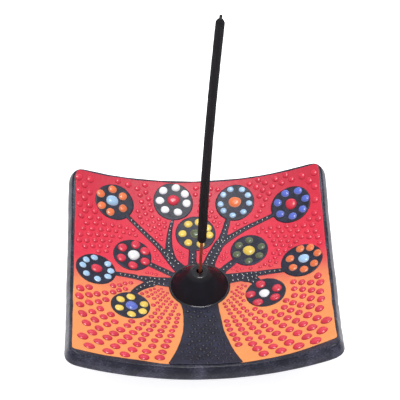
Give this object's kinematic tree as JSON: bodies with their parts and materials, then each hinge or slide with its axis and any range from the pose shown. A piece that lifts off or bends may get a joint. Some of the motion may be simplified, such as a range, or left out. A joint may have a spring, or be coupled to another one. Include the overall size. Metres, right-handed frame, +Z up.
{
  "type": "incense stick holder",
  "caption": "Square bowl-shaped clay incense dish, painted with a tree of life in raised dots, with a conical centre socket that holds a leaning incense stick.",
  "frame": {"origin": "centre of the flat foot under the dish, on the surface that it stands on", "axes": "+Z up, -Y towards the front edge where the trunk starts, +X towards the right edge"},
  "size_m": [0.1282, 0.1272, 0.1619],
  "materials": {
    "black_clay": "satin",
    "gloss_black": "gloss",
    "bamboo": "matte",
    "incense_paste": "matte",
    "field_paint": "satin",
    "black_paint": "satin",
    "black_dots": "gloss",
    "red_dots": "gloss",
    "crimson_dots": "satin",
    "orange_dots": "satin",
    "white_dots": "satin",
    "yellow_dots": "satin",
    "blue_dots": "satin",
    "pale_blue_dots": "satin",
    "olive_dots": "satin"
  },
  "bodies": {
    "holder": {"dish": "black_clay", "stick_socket": "gloss_black", "socket_ring": "gloss_black", "field_paint": "field_paint", "trunk_paint": "black_paint", "back_left_limb": "black_paint", "back_middle_limb": "black_paint", "back_right_limb": "black_paint", "left_twig": "black_paint", "right_twig": "black_paint", "left_limb": "black_paint", "right_limb": "black_paint", "bark_dots": "black_dots", "limb_dots": "black_dots", "back_dots": "red_dots", "front_dots": "crimson_dots", "flower_01_disc": "black_paint", "flower_01_petals": "orange_dots", "flower_01_centre": "pale_blue_dots", "flower_02_disc": "black_paint", "flower_02_petals": "white_dots", "flower_02_centre": "crimson_dots", "flower_03_disc": "black_paint", "flower_03_petals": "pale_blue_dots", "flower_03_centre": "orange_dots", "flower_04_disc": "black_paint", "flower_04_petals": "blue_dots", "flower_04_centre": "red_dots", "flower_05_disc": "black_paint", "flower_05_petals": "yellow_dots", "flower_05_centre": "olive_dots", "flower_06_disc": "black_paint", "flower_06_petals": "crimson_dots", "flower_06_centre": "white_dots", "flower_07_disc": "black_paint", "flower_07_petals": "pale_blue_dots", "flower_07_centre": "red_dots", "flower_08_disc": "black_paint", "flower_08_petals": "yellow_dots", "flower_08_centre": "blue_dots", "flower_09_disc": "black_paint", "flower_09_petals": "olive_dots", "flower_09_centre": "yellow_dots", "flower_10_disc": "black_paint", "flower_10_petals": "orange_dots", "flower_10_centre": "pale_blue_dots", "flower_11_disc": "black_paint", "flower_11_petals": "crimson_dots", "flower_11_centre": "white_dots"},
    "stick": {"bamboo_core": "bamboo", "incense_coating": "incense_paste"}
  },
  "joints": [
    {"name": "stick_lift", "type": "slide", "parent": "holder", "child": "stick", "axis": [0.0626, 0.0698, 0.9956], "range_m": [0, 0.016]}
  ]
}
